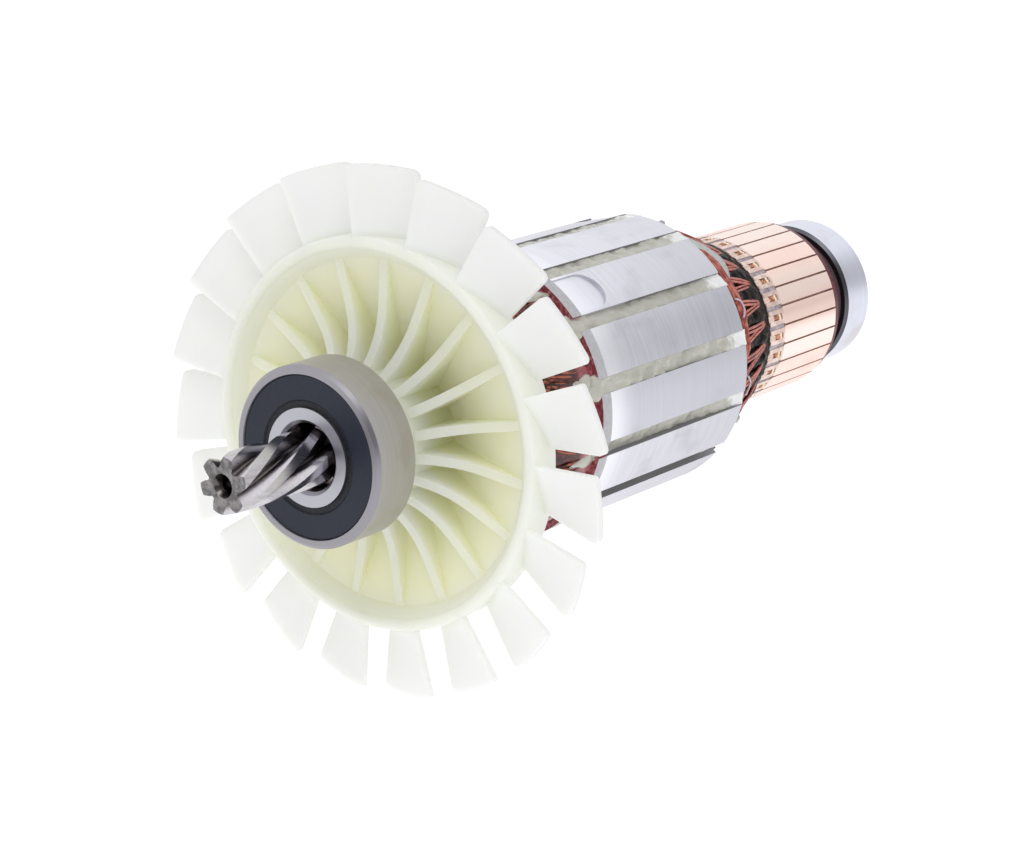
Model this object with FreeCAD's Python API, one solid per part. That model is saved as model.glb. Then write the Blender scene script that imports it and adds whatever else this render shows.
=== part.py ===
import FreeCAD, Part
import math
import os

# Motor armature: a shaft with a helical pinion cut in its end, two sealed ball bearings, a cooling
# fan, a slotted and wound core, and a commutator. Millimetres and degrees. X runs along the shaft
# from the pinion to the commutator, +Z is up, and the origin is the centre of the front bearing.
# An angle about the shaft is counted from +Z towards -Y.

# Driving dimensions

# Ball bearings, standard metric sizes
front_bearing_bore = 12.0
front_bearing_outside = 32.0
front_bearing_width = 10.0
front_ball_diameter = 5.953
front_ball_circle = 22.0
front_ball_count = 7
rear_bearing_bore = 10.0
rear_bearing_outside = 30.0
rear_bearing_width = 9.0
rear_ball_diameter = 4.7625
rear_ball_circle = 20.0
rear_ball_count = 8
ring_corner = 0.6
ring_rim = 1.65
front_lip_radius = 8.65
rear_lip_radius = 7.6
seal_thickness = 0.95
seal_depth = 0.25
ball_play = 0.02
pocket_play = 0.06
lip_clearance = 0.07

# Distances along the shaft, each from the neighbour before it
pinion_reach = 20.75
fan_boss_gap = 1.2
core_setback = 41.8
stack_length = 44.0
lead_span = 23.2
bar_length = 24.9
rear_bearing_gap = 8.1
shaft_end_reach = 0.5

# Shaft
core_seat_radius = 7.0
commutator_seat_radius = 6.0
pinion_teeth = 6
pinion_tip_radius = 5.1
pinion_root_radius = 3.1
pinion_lead = 68.6
pinion_phase = 14.5
pinion_root_half_angle = 25.0
pinion_flank_half_angle = 17.3
pinion_tip_half_angle = 10.5
pinion_crest_half_angle = 4.0
runout_start = 1.8
runout_end = 4.3
runout_depth = 2.2
centre_hole_radius = 2.1
centre_hole_depth = 5.0
front_drill_radius = 1.3
rear_drill_radius = 1.2
core_seat_end_gap = 16.0
seat_chamfer = 0.4

# Core
core_radius = 26.5
slot_count = 14
slot_phase = -0.4
slot_opening = 2.86
slot_depth = 12.2
slot_lip_depth = 1.3
slot_shoulder_depth = 2.25
tooth_width = 4.2
front_disc_thickness = 2.7
rear_disc_thickness = 1.0
sleeve_wall = 1.5
sleeve_front_reach = 7.8
sleeve_rear_reach = 6.2
liner_thickness = 0.25
wedge_sink = 0.62
wedge_thickness = 0.25
wedge_side_clearance = 0.48
wedge_lip_clearance = 0.02
wedge_front_reach = 2.3
wedge_rear_reach = 0.4
balance_cut_width = 8.0
balance_cut_depth = 0.6
front_balance_cut_length = 10.2
rear_balance_cut_length = 9.8

# Winding heads
front_head_length = 16.1
rear_head_length = 11.2
front_head_sink = 1.1
rear_head_sink = 2.3
head_bore_gap = 0.7
coil_gap_width = 5.0
coil_gap_depth = 4.0
coil_gap_length = 7.5

# Commutator
commutator_radius = 17.3
bar_count = 28
bar_phase = 0.4
riser_length = 5.2
riser_gap = 0.9
bar_gap = 0.4
riser_slot_width = 1.2
riser_slot_depth = 1.7
riser_slot_length = 4.6
bar_depth = 2.8
bar_foot_depth = 2.1
bar_foot_setback = 2.4
bar_foot_slope = 1.6
bar_undercut = 0.75
moulding_collar = 1.4
moulding_collar_drop = 0.4
lead_width = 1.1
bush_wall = 2.0
bush_front_reach = 2.0
bush_rear_reach = 0.7

# Cooling fan
fan_radius = 47.4
fan_rim_radius = 35.0
fan_wall = 2.0
fan_boss_radius = 12.0
fan_boss_length = 18.8
fan_lip_depth = 5.3
fan_bowl_depth = 8.4
fan_rim_depth = 12.1
bowl_middle_depth = 10.5
bowl_foot_setback = 4.8
blade_count = 19
blade_phase = 1.9
blade_angle = 15.6
blade_thickness = 1.5
blade_depth = 5.65
blade_root_drop = 4.9
blade_tip_drop = 3.25
blade_lead_corner = 0.6
blade_trail_corner = 1.3
rib_phase = 2.3
rib_thickness = 1.7
rib_setback = 2.8
rib_floor_depth = 8.3

# Stations along the shaft
front_face_x = -front_bearing_width / 2
shoulder_x = front_bearing_width / 2
pinion_tip_x = front_face_x - pinion_reach
fan_x = shoulder_x + fan_boss_gap
core_x = shoulder_x + core_setback
core_end_x = core_x + stack_length
front_disc_x = core_x - front_disc_thickness
rear_disc_end_x = core_end_x + rear_disc_thickness
commutator_x = core_end_x + lead_span
bar_x = commutator_x + riser_length
bar_end_x = commutator_x + bar_length
moulding_end_x = bar_end_x + moulding_collar
rear_bearing_x = bar_end_x + rear_bearing_gap
rear_bearing_end_x = rear_bearing_x + rear_bearing_width
shaft_end_x = rear_bearing_end_x + shaft_end_reach

# Shared derived sizes
sleeve_radius = core_seat_radius + sleeve_wall
bush_radius = commutator_seat_radius + bush_wall
slot_pitch = 360.0 / slot_count
bar_pitch = 360.0 / bar_count
slot_lean = math.radians(slot_pitch / 2)
slot_bottom_height = core_radius - slot_depth
slot_shoulder_height = core_radius - slot_shoulder_depth
lip_height = core_radius - slot_lip_depth
liner_top = slot_shoulder_height - wedge_thickness
front_head_x = front_disc_x - front_head_length
rear_head_x = rear_disc_end_x + rear_head_length

axis_x = FreeCAD.Vector(1, 0, 0)
centre = FreeCAD.Vector(0, 0, 0)


def face_of(points, place):
    """Flat face inside a closed outline. A point is (a, b), or (mid a, mid b, a, b) where an arc
    ends; place turns a pair into a vector."""
    edges = []
    here = points[0][-2:]
    for step in points[1:] + [points[0]]:
        there = step[-2:]
        if len(step) == 4:
            edges.append(Part.Arc(place(*here), place(*step[:2]), place(*there)).toShape())
        elif math.dist(here, there) > 1e-6:
            edges.append(Part.makeLine(place(*here), place(*there)))
        here = there
    return Part.Face(Part.Wire(edges))


def turned(points, angle=360.0):
    """Solid turned about the shaft from an outline of (x, radius), centred on +Z."""
    face = face_of(points, lambda x, r: FreeCAD.Vector(x, 0, r))
    face.rotate(centre, axis_x, -angle / 2)
    return face.revolve(centre, axis_x, angle)


def tube(x0, x1, inside, outside, chamfer=0.0):
    """Plain ring or bush, with its outer corners chamfered."""
    return turned([(x0, inside), (x0, outside - chamfer), (x0 + chamfer, outside),
                   (x1 - chamfer, outside), (x1, outside - chamfer), (x1, inside)])


def prism(points, x0, x1):
    """Solid with an outline of (y, z), drawn out along the shaft."""
    face = face_of(points, lambda y, z: FreeCAD.Vector(x0, y, z))
    return face.extrude(FreeCAD.Vector(x1 - x0, 0, 0))


def around(solid, count, phase):
    """Copies of a solid spaced evenly about the shaft."""
    copies = []
    for index in range(count):
        copy = solid.copy()
        copy.rotate(centre, axis_x, phase + index * 360.0 / count)
        copies.append(copy)
    return copies


def save(node, shape):
    """Writes one sub-part, after a look at whether its solids are sound."""
    if not shape.isValid() or not shape.Solids:
        raise ValueError("unsound shape: " + node)
    shape.exportStep("parts/" + node + ".step")


# Shaft with its pinion

def pinion():
    """Helical teeth cut in the shaft's own end, run out into the bearing seat."""
    seat_radius = front_bearing_bore / 2
    seat_x = front_face_x + runout_start
    runout_x = front_face_x + runout_end
    lead_in = 1.0
    start_x = pinion_tip_x - lead_in
    half_pitch = 180.0 / pinion_teeth
    flank_root_radius = pinion_root_radius + 0.1
    flank_mid_radius = (pinion_root_radius + pinion_tip_radius) / 2 + 0.1
    blank_radius = seat_radius + 0.1

    def spot(radius, angle):
        turn = math.radians(pinion_phase + 360.0 / pinion_lead * lead_in + angle)
        return FreeCAD.Vector(start_x, -radius * math.sin(turn), radius * math.cos(turn))

    edges = []
    for tooth in range(pinion_teeth):
        middle = tooth * 2 * half_pitch
        for side in (-1, 1):
            flank = [spot(flank_root_radius, middle + side * pinion_root_half_angle),
                     spot(flank_mid_radius, middle + side * pinion_flank_half_angle),
                     spot(pinion_tip_radius, middle + side * pinion_tip_half_angle)]
            crest = spot(blank_radius, middle + side * pinion_crest_half_angle)
            edges.append(Part.Arc(*flank).toShape())
            edges.append(Part.makeLine(flank[2], crest))
        edges.append(Part.Arc(spot(blank_radius, middle - pinion_crest_half_angle),
                              spot(blank_radius, middle),
                              spot(blank_radius, middle + pinion_crest_half_angle)).toShape())
        next_root = middle + 2 * half_pitch - pinion_root_half_angle
        edges.append(Part.Arc(spot(flank_root_radius, middle + pinion_root_half_angle),
                              spot(pinion_root_radius, middle + half_pitch),
                              spot(flank_root_radius, next_root)).toShape())
    outline = Part.Wire(Part.sortEdges(edges)[0])

    length = runout_x - start_x
    spine = Part.Wire(Part.makeLine(FreeCAD.Vector(start_x, 0, 0), FreeCAD.Vector(runout_x, 0, 0)))
    guide = Part.makeHelix(pinion_lead, length, 1.0, 0, True)
    guide.rotate(centre, FreeCAD.Vector(0, 1, 0), 90)
    guide.translate(FreeCAD.Vector(start_x, 0, 0))
    sweep = Part.BRepOffsetAPI.MakePipeShell(spine)
    sweep.setAuxiliarySpine(Part.Wire(guide), True, 0)
    sweep.add(outline, False, False)
    sweep.build()
    sweep.makeSolid()
    blank = turned([(pinion_tip_x, 0), (pinion_tip_x, pinion_tip_radius - 0.2),
                    (pinion_tip_x + 0.2, pinion_tip_radius), (seat_x, pinion_tip_radius),
                    (seat_x + seat_chamfer, seat_radius), (runout_x, seat_radius), (runout_x, 0)])
    return sweep.shape().common(blank)


def centre_hole(x, direction, mouth_radius, drill_radius):
    """Lathe centre: a 60 degree cone and a drilled hole, seen from one end of the shaft."""
    cone = (mouth_radius - drill_radius) / math.tan(math.radians(30))
    bottom = centre_hole_depth + 0.6 * drill_radius
    return turned([(x, 0), (x, mouth_radius), (x + direction * cone, drill_radius),
                   (x + direction * centre_hole_depth, drill_radius), (x + direction * bottom, 0)])


def shaft():
    """Stepped shaft: pinion, front seat, core seat, commutator seat and rear seat."""
    front_seat = front_bearing_bore / 2
    rear_seat = rear_bearing_bore / 2
    core_seat_end_x = commutator_x - core_seat_end_gap
    under_root = pinion_root_radius - 0.2
    runout_start_x = front_face_x + 0.2
    runout_middle_x = front_face_x + 0.75 * runout_end
    runout_end_x = front_face_x + runout_end
    body = turned([
        (pinion_tip_x, 0), (pinion_tip_x, under_root), (runout_start_x, under_root),
        (runout_middle_x, front_seat - runout_depth, runout_end_x, front_seat),
        (shoulder_x, front_seat), (shoulder_x, core_seat_radius - seat_chamfer),
        (shoulder_x + seat_chamfer, core_seat_radius),
        (core_seat_end_x, core_seat_radius), (core_seat_end_x, commutator_seat_radius),
        (rear_bearing_x, commutator_seat_radius), (rear_bearing_x, rear_seat),
        (shaft_end_x - 0.5, rear_seat), (shaft_end_x, rear_seat - 0.5), (shaft_end_x, 0)])
    body = body.fuse(pinion())
    holes = [centre_hole(pinion_tip_x, 1, centre_hole_radius, front_drill_radius),
             centre_hole(shaft_end_x, -1, centre_hole_radius, rear_drill_radius)]
    return body.cut(holes)


# Ball bearings

def bearing(name, x, width, bore, outside, ball_diameter, ball_circle, ball_count, lip_radius):
    """Sealed ball bearing centred at x: two rings, balls, cage and two seals."""
    half = width / 2
    ball = ball_diameter / 2
    circle = ball_circle / 2
    groove = ball_diameter * 0.5125
    seal_radius = outside / 2 - ring_rim
    seal_inner = half - seal_depth - seal_thickness
    step = seal_inner - 0.2
    inner_shoulder = circle - 0.3 * ball_diameter
    outer_shoulder = circle + 0.32 * ball_diameter
    inner_floor = circle - ball - ball_play
    outer_floor = circle + ball + ball_play
    inner_reach = math.sqrt(groove ** 2 - (inner_floor + groove - inner_shoulder) ** 2)
    outer_reach = math.sqrt(groove ** 2 - (outer_shoulder - outer_floor + groove) ** 2)

    outer_ring = turned([
        (-half, seal_radius + 0.1), (-half, outside / 2 - ring_corner),
        (-half + ring_corner, outside / 2), (half - ring_corner, outside / 2),
        (half, outside / 2 - ring_corner), (half, seal_radius + 0.1),
        (half - seal_depth, seal_radius), (seal_inner, seal_radius), (seal_inner, outer_shoulder),
        (outer_reach, outer_shoulder), (0, outer_floor, -outer_reach, outer_shoulder),
        (-seal_inner, outer_shoulder), (-seal_inner, seal_radius),
        (-half + seal_depth, seal_radius)])
    inner_ring = turned([
        (-half, bore / 2 + ring_corner), (-half, lip_radius), (-step, lip_radius),
        (-step, inner_shoulder), (-inner_reach, inner_shoulder),
        (0, inner_floor, inner_reach, inner_shoulder), (step, inner_shoulder), (step, lip_radius),
        (half, lip_radius), (half, bore / 2 + ring_corner), (half - ring_corner, bore / 2),
        (-half + ring_corner, bore / 2)])

    ball_solid = Part.makeSphere(ball, FreeCAD.Vector(0, 0, circle))
    balls = Part.makeCompound(around(ball_solid, ball_count, 0))
    pocket = Part.makeSphere(ball + pocket_play, FreeCAD.Vector(0, 0, circle))
    cage_half = ball + 0.5
    cage_wall = 0.22 * ball_diameter
    cage = tube(-cage_half, cage_half, circle - cage_wall / 2, circle + cage_wall / 2)
    cage = cage.cut(around(pocket, ball_count, 0))

    lip = lip_radius + lip_clearance
    front_seal = turned([
        (-seal_inner, seal_radius), (-half + seal_depth + 0.2, seal_radius),
        (-half + seal_depth, seal_radius - 0.2), (-half + seal_depth, lip + 1.3),
        (-half + seal_depth + 0.3, lip + 1.0), (-half + seal_depth + 0.3, lip),
        (-seal_inner - 0.2, lip), (-seal_inner, lip + 0.2)])
    back_seal = front_seal.copy()
    back_seal.rotate(centre, FreeCAD.Vector(0, 0, 1), 180)

    pieces = {"outer_ring": outer_ring, "inner_ring": inner_ring, "balls": balls, "cage": cage,
              "outer_seal": front_seal, "inner_seal": back_seal}
    if x > 0:
        pieces["outer_seal"], pieces["inner_seal"] = back_seal, front_seal
    for piece, shape in pieces.items():
        shape.translate(FreeCAD.Vector(x, 0, 0))
        save(name + "_" + piece, shape)


# Cooling fan

def fan_body():
    """Boss, bowl open towards the bearing, and the rim that carries the blades."""
    rim_inside = fan_rim_radius - fan_wall
    bowl_foot = fan_x + fan_boss_length - bowl_foot_setback
    bowl_top = fan_x + fan_bowl_depth
    lip_x = fan_x + fan_lip_depth
    rim_end_x = fan_x + fan_rim_depth
    bowl_middle_x = fan_x + bowl_middle_depth
    bowl_edge = fan_rim_radius - 4.0
    bowl_middle = (fan_boss_radius + bowl_edge) / 2 + 2.0
    return turned([
        (fan_x, core_seat_radius), (fan_x, fan_boss_radius - 0.5), (fan_x + 0.5, fan_boss_radius),
        (bowl_foot, fan_boss_radius),
        (bowl_middle_x, bowl_middle, bowl_top, bowl_edge),
        (lip_x + 1.1, rim_inside - 0.2),
        (lip_x, rim_inside + 0.9, lip_x + 0.7, fan_rim_radius),
        (rim_end_x, fan_rim_radius), (rim_end_x, rim_inside), (bowl_top + 2.2, rim_inside - 1.2),
        (bowl_middle_x + fan_wall, bowl_middle + 0.6, bowl_foot + fan_wall, fan_boss_radius + 0.6),
        (bowl_foot + fan_wall + 0.6, fan_boss_radius),
        (fan_x + fan_boss_length, fan_boss_radius), (fan_x + fan_boss_length, core_seat_radius)])


def fan_rib():
    """One straight radial rib in the bowl, from the boss to the foot of the rim."""
    foot = fan_boss_radius - 0.3
    reach = fan_rim_radius - 3.6
    start_x = fan_x + rib_setback
    floor_x = fan_x + rib_floor_depth
    drop = floor_x - start_x
    crest = Part.BSplineCurve()
    crest.interpolate([FreeCAD.Vector(start_x, 0, foot),
                       FreeCAD.Vector(start_x + 0.51 * drop, 0, fan_boss_radius + 3.0),
                       FreeCAD.Vector(start_x + 0.87 * drop, 0, fan_boss_radius + 7.5),
                       FreeCAD.Vector(start_x + 0.96 * drop, 0, fan_boss_radius + 13.0),
                       FreeCAD.Vector(floor_x, 0, reach)])
    back = [FreeCAD.Vector(floor_x, 0, reach), FreeCAD.Vector(floor_x + 0.7, 0, reach),
            FreeCAD.Vector(fan_x + fan_boss_length - bowl_foot_setback + 1.0, 0, foot),
            FreeCAD.Vector(start_x, 0, foot)]
    edges = [crest.toShape()] + [Part.makeLine(a, b) for a, b in zip(back, back[1:])]
    rib = Part.Face(Part.Wire(edges)).extrude(FreeCAD.Vector(0, rib_thickness, 0))
    rib.translate(FreeCAD.Vector(0, -rib_thickness / 2, 0))
    return rib


def fan_blade():
    """One pitched blade: two radial edges, thinner drop at the tip, rounded tip corners."""
    front_x = fan_x + blade_depth
    taper = (blade_tip_drop - blade_root_drop) / (fan_radius - fan_rim_radius)

    def section(height):
        half = height * math.tan(math.radians(blade_angle / 2))
        back_x = front_x + blade_root_drop + taper * (height - fan_rim_radius)
        corners = [(front_x, half), (back_x, -half), (back_x + blade_thickness, -half),
                   (front_x + blade_thickness, half), (front_x, half)]
        return Part.makePolygon([FreeCAD.Vector(x, y, height) for x, y in corners])

    slab = Part.makeLoft([section(fan_rim_radius - 2.5), section(fan_radius + 1.5)], True, True)
    ring = tube(fan_x, fan_x + fan_boss_length, fan_rim_radius - 0.7, fan_radius)
    blade = slab.common(ring)
    for side, radius in ((-1, blade_trail_corner), (1, blade_lead_corner)):
        corners = [edge for edge in blade.Edges if edge.Length < 2.5 and edge.CenterOfMass.y * side > 0
                   and math.hypot(edge.CenterOfMass.y, edge.CenterOfMass.z) > fan_radius - 0.1]
        blade = blade.makeFillet(radius, corners)
    return blade


def fan():
    """One nylon moulding of body, ribs and blades."""
    ribs = around(fan_rib(), blade_count, rib_phase)
    blades = around(fan_blade(), blade_count, blade_phase)
    return fan_body().multiFuse(ribs + blades)


# Core and winding

def slot_side(height):
    """Half the width of a slot at a height. Its side is parallel to the middle of the tooth."""
    return (height * math.sin(slot_lean) - tooth_width / 2) / math.cos(slot_lean)


def slot(gap, top, x0, x1):
    """Solid that fills one slot up to a height, standing a gap off its walls."""
    middle = (slot_bottom_height - tooth_width / 2) / (1 - math.sin(slot_lean))
    radius = middle - slot_bottom_height - gap
    foot_y = radius * math.cos(slot_lean)
    foot_z = middle - radius * math.sin(slot_lean)
    top_y = slot_side(top) - gap / math.cos(slot_lean)
    return prism([(top_y, top), (foot_y, foot_z), (0, middle - radius, -foot_y, foot_z),
                  (-top_y, top)], x0, x1)


def slot_mouth(x0, x1, radius):
    """Solid that fills the part of a slot between its shoulders and the open air."""
    opening = slot_opening / 2
    width = slot_side(slot_shoulder_height)
    return prism([(opening, radius), (opening, lip_height), (width, slot_shoulder_height),
                  (-width, slot_shoulder_height), (-opening, lip_height), (-opening, radius)], x0, x1)


def slotted_disc(x0, x1, radius):
    """Ring with the slots of the core in it."""
    cutter = slot(0, slot_shoulder_height, x0, x1).fuse(slot_mouth(x0, x1, core_radius + 1))
    return tube(x0, x1, sleeve_radius, radius).cut(around(cutter, slot_count, slot_phase))


def balance_cut(x, direction, length):
    """Round-ended milling over one tooth, from an end of the core."""
    floor = core_radius - balance_cut_depth
    half = balance_cut_width / 2
    flat = length - half
    cutter = Part.makeBox(flat + 1, balance_cut_width, 4, FreeCAD.Vector(x - 1, -half, floor))
    cutter = cutter.fuse(Part.makeCylinder(half, 4, FreeCAD.Vector(x + flat, 0, floor)))
    if direction < 0:
        cutter = cutter.mirror(FreeCAD.Vector(x, 0, 0), axis_x)
    return cutter


def lamination_stack():
    """Stack of slotted sheets, with a balance cut at each end."""
    stack = slotted_disc(core_x, core_end_x, core_radius)
    front_cut = balance_cut(core_x, 1, front_balance_cut_length)
    front_cut.rotate(centre, axis_x, slot_phase + 1.5 * slot_pitch)
    rear_cut = balance_cut(core_end_x, -1, rear_balance_cut_length)
    rear_cut.rotate(centre, axis_x, slot_phase - 0.5 * slot_pitch)
    return stack.cut([front_cut, rear_cut])


def slot_wedge():
    """Resin strip that closes one slot: a head under the lips and a neck in the opening."""
    half = slot_opening / 2
    width = slot_side(slot_shoulder_height)
    slope = (lip_height - slot_shoulder_height) / (width - half)
    head = width - wedge_side_clearance
    neck_foot = lip_height - wedge_lip_clearance
    shoulder = neck_foot - slope * (head - half)
    crown = core_radius - wedge_sink
    side = math.sqrt(crown ** 2 - half ** 2)
    return prism([(-half, side), (0, crown, half, side), (half, neck_foot), (head, shoulder),
                  (head, liner_top), (-head, liner_top), (-head, shoulder), (-half, neck_foot)],
                 front_disc_x - wedge_front_reach, core_end_x + wedge_rear_reach)


def coil_gap(x, direction, radius):
    """Hollow between the coils that leave two neighbouring slots, fading out along the head."""
    def section(distance, share):
        half = coil_gap_width / 2 * share
        low = radius - coil_gap_depth * share
        high = radius + 1.0
        corners = [(-half, high), (0, low), (half, high), (-half, high)]
        return Part.makePolygon([FreeCAD.Vector(x + direction * distance, y, z) for y, z in corners])

    return Part.makeLoft([section(-0.5, 1.0), section(coil_gap_length, 0.15)], True, True)


def winding(wedges):
    """Coils as one solid: the slot bars and a head at each end, under the wedges."""
    overlap = 1.0
    bar = slot(liner_thickness, liner_top - 0.1, front_disc_x - overlap, rear_disc_end_x + overlap)
    inside = sleeve_radius + head_bore_gap
    front = core_radius - front_head_sink
    rear = core_radius - rear_head_sink
    front_head = turned([
        (front_head_x, inside), (front_head_x, front - 8.9), (front_head_x + 1.5, front - 6.4),
        (front_head_x + 5.0, front - 1.9), (front_head_x + 8.0, front - 0.5, front_disc_x, front),
        (front_disc_x, inside)])
    rear_head = turned([
        (rear_disc_end_x, inside), (rear_disc_end_x, rear),
        (rear_disc_end_x + 2.2, rear - 0.1, rear_disc_end_x + 4.2, rear - 2.1),
        (rear_head_x - 2.0, rear - 4.8), (rear_head_x, rear - 7.0), (rear_head_x, inside)])
    body = front_head.multiFuse([rear_head] + around(bar, slot_count, slot_phase))
    gap_phase = slot_phase + slot_pitch / 2
    gaps = around(coil_gap(front_disc_x, -1, front), slot_count, gap_phase)
    gaps += around(coil_gap(rear_disc_end_x, 1, rear), slot_count, gap_phase)
    return body.cut(wedges + gaps)


# Commutator and its leads

lead_cone_x = commutator_x - 0.1
lead_cone_radius = commutator_radius - 0.7
lead_cone_start_x = rear_disc_end_x + 2.8
lead_cone_start_radius = core_radius - 2.9
lead_slope = (lead_cone_start_radius - lead_cone_radius) / (lead_cone_x - lead_cone_start_x)
lead_clearance = 0.02


def lead_height(x):
    """Radius of the bound cone at a place along the shaft."""
    return lead_cone_radius + (lead_cone_x - x) * lead_slope


def lead_binding(winding_solid):
    """Varnished cord and tape over the leads, from the rear head down to the risers."""
    inside = sleeve_radius + 3.0
    behind = core_radius - rear_head_sink - 8.0
    cone = turned([(lead_cone_start_x, behind), (lead_cone_start_x, lead_cone_start_radius),
                   (lead_cone_x, lead_cone_radius), (lead_cone_x, inside), (rear_head_x, inside),
                   (rear_head_x, behind)])
    return cone.cut(winding_solid)


def riser_lead():
    """Bared end of one coil: down the cone and into the slot of its bar."""
    start = lead_cone_start_x + 4.4
    stop = commutator_x + riser_slot_length - 0.1
    low = commutator_radius - riser_slot_depth + 0.1
    outline = [(start, lead_height(start) + lead_clearance),
               (lead_cone_x - 0.05, lead_cone_radius + 2 * lead_clearance),
               (commutator_x + 0.05, low), (stop, low), (stop, commutator_radius - 0.2),
               (lead_cone_x, commutator_radius - 0.1), (start, lead_height(start) + 0.6)]
    face = face_of(outline, lambda x, r: FreeCAD.Vector(x, 0, r))
    lead = face.extrude(FreeCAD.Vector(0, lead_width, 0))
    lead.translate(FreeCAD.Vector(0, -lead_width / 2, 0))
    return lead


def plain_bar():
    """One copper bar before its riser is slotted, with a dovetail foot in the moulding."""
    riser_angle = bar_pitch - math.degrees(riser_gap / commutator_radius)
    bar_angle = bar_pitch - math.degrees(bar_gap / commutator_radius)
    floor = commutator_radius - bar_depth
    foot = floor - bar_foot_depth
    foot_start = bar_x + bar_foot_setback
    foot_end = bar_end_x - bar_foot_setback - 1.0
    riser = turned([(commutator_x, floor), (commutator_x, commutator_radius),
                    (bar_x, commutator_radius), (bar_x, floor)], riser_angle)
    bar = turned([
        (bar_x, floor), (bar_x, commutator_radius), (bar_end_x - 0.4, commutator_radius),
        (bar_end_x, commutator_radius - 0.4), (bar_end_x, floor), (foot_end - bar_foot_slope, floor),
        (foot_end, foot), (foot_start, foot), (foot_start + bar_foot_slope, floor)], bar_angle)
    return riser.fuse(bar).removeSplitter()


def slotted_bar(bar):
    """Bar with the slot in its riser that takes the coil ends."""
    low = commutator_radius - riser_slot_depth
    slot_box = Part.makeBox(riser_slot_length + 1, riser_slot_width, 4,
                            FreeCAD.Vector(commutator_x - 1, -riser_slot_width / 2, low))
    return bar.cut(slot_box)


def commutator_moulding(bars):
    """Insulating moulding that holds the bars and shows between them."""
    collar_x = bar_end_x - moulding_collar - 0.5
    body = turned([
        (commutator_x, bush_radius), (commutator_x, commutator_radius - 0.2),
        (bar_x, commutator_radius - 0.2), (bar_x, commutator_radius - bar_undercut),
        (collar_x, commutator_radius - bar_undercut),
        (collar_x, commutator_radius - moulding_collar_drop),
        (moulding_end_x, commutator_radius - moulding_collar_drop), (moulding_end_x, bush_radius)])
    return body.cut(bars)


os.makedirs("parts", exist_ok=True)

save("armature_shaft", shaft())
bearing("front_bearing", 0, front_bearing_width, front_bearing_bore, front_bearing_outside,
        front_ball_diameter, front_ball_circle, front_ball_count, front_lip_radius)
bearing("rear_bearing", rear_bearing_x + rear_bearing_width / 2, rear_bearing_width,
        rear_bearing_bore, rear_bearing_outside, rear_ball_diameter, rear_ball_circle,
        rear_ball_count, rear_lip_radius)
save("cooling_fan", fan())

save("core_insulating_sleeve", tube(core_x - sleeve_front_reach, core_end_x + sleeve_rear_reach,
                                    core_seat_radius, sleeve_radius))
save("lamination_stack", lamination_stack())
save("front_end_disc", slotted_disc(front_disc_x, core_x, core_radius))
save("rear_end_disc", slotted_disc(core_end_x, rear_disc_end_x, core_radius - 0.9))
liner = slot(0, liner_top, front_disc_x, rear_disc_end_x)
liner = liner.cut(slot(liner_thickness, liner_top, front_disc_x, rear_disc_end_x))
save("slot_liners", Part.makeCompound(around(liner, slot_count, slot_phase)))
wedges = around(slot_wedge(), slot_count, slot_phase)
save("slot_wedges", Part.makeCompound(wedges))
coils = winding(wedges)
save("winding", coils)

save("lead_binding", lead_binding(coils))
save("riser_leads", Part.makeCompound(around(riser_lead(), bar_count, bar_phase)))
plain_bars = around(plain_bar(), bar_count, bar_phase)
save("commutator_moulding", commutator_moulding(plain_bars))
bars = around(slotted_bar(plain_bar()), bar_count, bar_phase)
save("commutator_bars", Part.makeCompound(bars))
save("commutator_bush", tube(commutator_x - bush_front_reach, moulding_end_x + bush_rear_reach,
                             commutator_seat_radius, bush_radius))
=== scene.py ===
import math
import random

import bpy
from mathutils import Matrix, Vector, noise


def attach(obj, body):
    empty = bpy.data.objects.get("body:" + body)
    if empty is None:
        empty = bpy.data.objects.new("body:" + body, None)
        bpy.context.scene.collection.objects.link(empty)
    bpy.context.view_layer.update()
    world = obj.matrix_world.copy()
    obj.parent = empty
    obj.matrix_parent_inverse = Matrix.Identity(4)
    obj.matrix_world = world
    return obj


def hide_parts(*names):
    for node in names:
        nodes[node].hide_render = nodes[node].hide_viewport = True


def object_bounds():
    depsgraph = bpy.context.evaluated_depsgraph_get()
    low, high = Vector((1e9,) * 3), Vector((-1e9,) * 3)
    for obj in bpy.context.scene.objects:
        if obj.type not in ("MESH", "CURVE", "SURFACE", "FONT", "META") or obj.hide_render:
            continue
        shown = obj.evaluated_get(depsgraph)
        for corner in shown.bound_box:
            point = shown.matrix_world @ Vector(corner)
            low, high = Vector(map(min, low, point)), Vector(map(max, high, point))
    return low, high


# Looks of the motor armature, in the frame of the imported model: X runs along the shaft from the
# pinion to the commutator, +Z is up, and the origin is the centre of the front bearing. The camera,
# the light and the floor are in metres. Places and sizes on the part are in millimetres, and
# spot() makes metres of them. An angle about the shaft is counted from +Z towards -Y, in degrees.

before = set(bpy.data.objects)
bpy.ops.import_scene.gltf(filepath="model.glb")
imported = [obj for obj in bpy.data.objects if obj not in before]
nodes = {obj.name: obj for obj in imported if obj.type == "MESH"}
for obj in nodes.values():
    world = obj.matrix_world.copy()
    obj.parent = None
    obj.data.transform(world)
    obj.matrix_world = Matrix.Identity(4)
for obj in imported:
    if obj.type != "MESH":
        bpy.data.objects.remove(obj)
cad_low, cad_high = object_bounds()
random.seed(12)
mm = 0.001

# Camera, as fitted to the photograph
camera_place = (-0.353456, -0.307687, 0.134261)
camera_azimuth = -52.828
camera_elevation = 15.462
camera_lens = 100.69

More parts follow.
